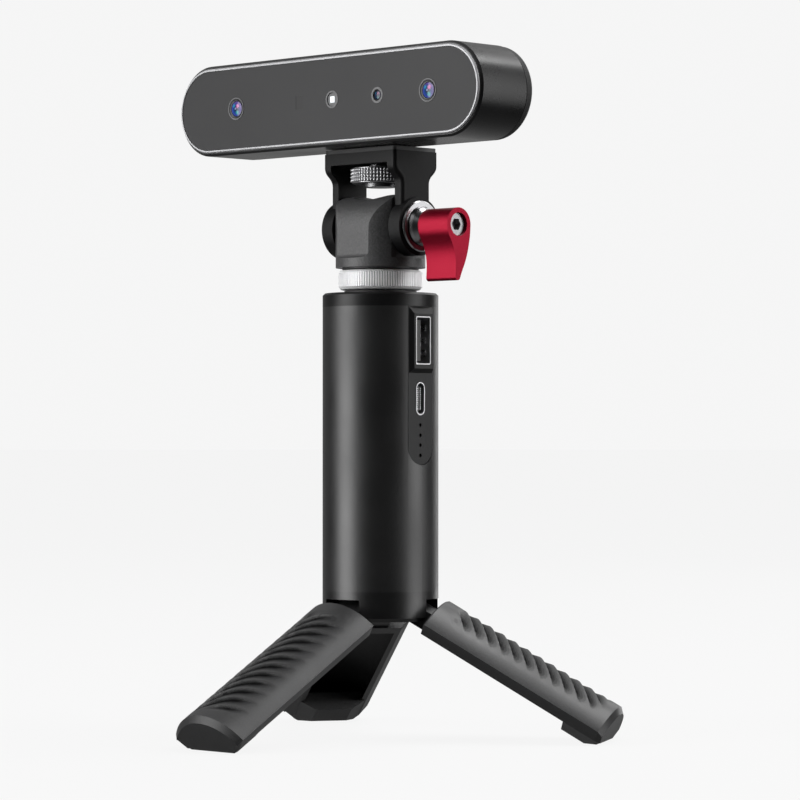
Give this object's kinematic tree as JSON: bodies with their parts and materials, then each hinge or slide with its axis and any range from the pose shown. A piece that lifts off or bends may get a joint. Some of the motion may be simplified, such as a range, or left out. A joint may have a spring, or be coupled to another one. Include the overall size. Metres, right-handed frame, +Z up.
{
  "type": "handheld 3d scanner",
  "caption": "Slim bar-shaped structured-light 3D scanner head on a tilting clamp mount, with a tubular battery grip that stands on a folding mini tripod.",
  "frame": {"origin": "on the ground, on the axis of the grip tube and tripod hub", "axes": "+Z up along the grip, the scanner head looks along -Y, +X is the side with the clamp lever and the charging ports"},
  "size_m": [0.1277, 0.1109, 0.1881],
  "materials": {
    "black_anodised": "satin, fine blasted and anodised black",
    "black_cast": "satin black powder coat",
    "shell_black": "glossy satin black anodised",
    "cover_black": "fine matt black",
    "window_grey": "satin dark grey tinted window",
    "trim_silver": "bright chamfered edge",
    "ring_silver": "bright knurled",
    "steel": "machined",
    "chrome": "polished",
    "lever_red": "red anodised",
    "rubber": "matt",
    "panel_black": "satin black",
    "connector_black": "moulded",
    "lens_glass": "coated optical glass",
    "lamp_white": "lit emitter",
    "light_guide": "clear",
    "leg_black": "satin black with diagonal grooves",
    "pcb_green": "solder mask",
    "cell_wrap": "shrink sleeve",
    "optics_black": "matt black"
  },
  "bodies": {
    "handle": {"grip_tube": "black_anodised", "port_panel": "panel_black", "grip_cap": "black_anodised", "grip_stud": "steel", "grip_washer": "rubber", "base_plug": "steel", "leg_hub": "black_anodised", "hub_stud": "steel", "hinge_pin_front": "steel", "hinge_pin_right": "steel", "hinge_pin_left": "steel", "usb_a_shell": "steel", "usb_a_tongue": "connector_black", "usb_c_shell": "steel", "usb_c_tongue": "connector_black", "charge_light_guide": "light_guide", "power_pcb": "pcb_green", "battery_cell": "cell_wrap", "cell_bracket": "steel"},
    "lock_ring": {"lock_ring": "ring_silver"},
    "pan": {"knuckle": "black_cast"},
    "tilt": {"yoke": "black_cast", "yoke_pad": "rubber", "pivot_washer": "chrome", "pivot_nut": "steel"},
    "clamp_lever": {"lever": "lever_red", "lever_hub": "chrome", "lever_bolt": "steel"},
    "thumb": {"thumb_wheel": "ring_silver", "thumb_screw": "steel"},
    "head": {"head_shell": "shell_black", "front_trim": "trim_silver", "front_window": "window_grey", "rear_cover": "cover_black", "cover_screws": "steel", "camera_bezel_left": "optics_black", "camera_bezel_right": "optics_black", "camera_lens_left": "lens_glass", "camera_lens_right": "lens_glass", "camera_module_left": "optics_black", "camera_module_right": "optics_black", "rgb_bezel": "optics_black", "rgb_lens": "lens_glass", "rgb_module": "optics_black", "led_ring": "optics_black", "led_emitter": "lamp_white", "projector_window": "window_grey", "projector_module": "optics_black", "optics_chassis": "optics_black", "main_pcb": "pcb_green", "data_port": "steel", "head_insert": "steel"},
    "leg_front": {"leg_front": "leg_black", "foot_front": "rubber"},
    "leg_right": {"leg_right": "leg_black", "foot_right": "rubber"},
    "leg_left": {"leg_left": "leg_black", "foot_left": "rubber"}
  },
  "joints": [
    {"name": "lock_ring_spin", "type": "hinge", "parent": "handle", "child": "lock_ring", "pos_m": [0, 0, 0.1261], "axis": [0, 0, 1], "continuous": true},
    {"name": "pan_swivel", "type": "hinge", "parent": "handle", "child": "pan", "pos_m": [0, 0, 0.131], "axis": [0, 0, 1], "continuous": true},
    {"name": "tilt_hinge", "type": "hinge", "parent": "pan", "child": "tilt", "pos_m": [0, 0, 0.1404], "axis": [1, 0, 0], "range_deg": [-85, 85]},
    {"name": "clamp_lever_turn", "type": "hinge", "parent": "tilt", "child": "clamp_lever", "pos_m": [0.02, 0, 0.1404], "axis": [1, 0, 0], "range_deg": [-90, 90]},
    {"name": "thumb_wheel_turn", "type": "hinge", "parent": "tilt", "child": "thumb", "pos_m": [0, 0, 0.155], "axis": [0, 0, 1], "continuous": true},
    {"name": "head_swivel", "type": "hinge", "parent": "tilt", "child": "head", "pos_m": [0, 0, 0.1625], "axis": [0, 0, 1], "continuous": true},
    {"name": "leg_front_fold", "type": "hinge", "parent": "handle", "child": "leg_front", "pos_m": [0, -0.009, 0.0356], "axis": [1, 0, 0], "range_deg": [0, 59.7]},
    {"name": "leg_right_fold", "type": "hinge", "parent": "handle", "child": "leg_right", "pos_m": [0.00779, 0.0045, 0.0356], "axis": [-0.5, 0.866, 0], "range_deg": [0, 59.7]},
    {"name": "leg_left_fold", "type": "hinge", "parent": "handle", "child": "leg_left", "pos_m": [-0.00779, 0.0045, 0.0356], "axis": [-0.5, -0.866, 0], "range_deg": [0, 59.7]}
  ]
}
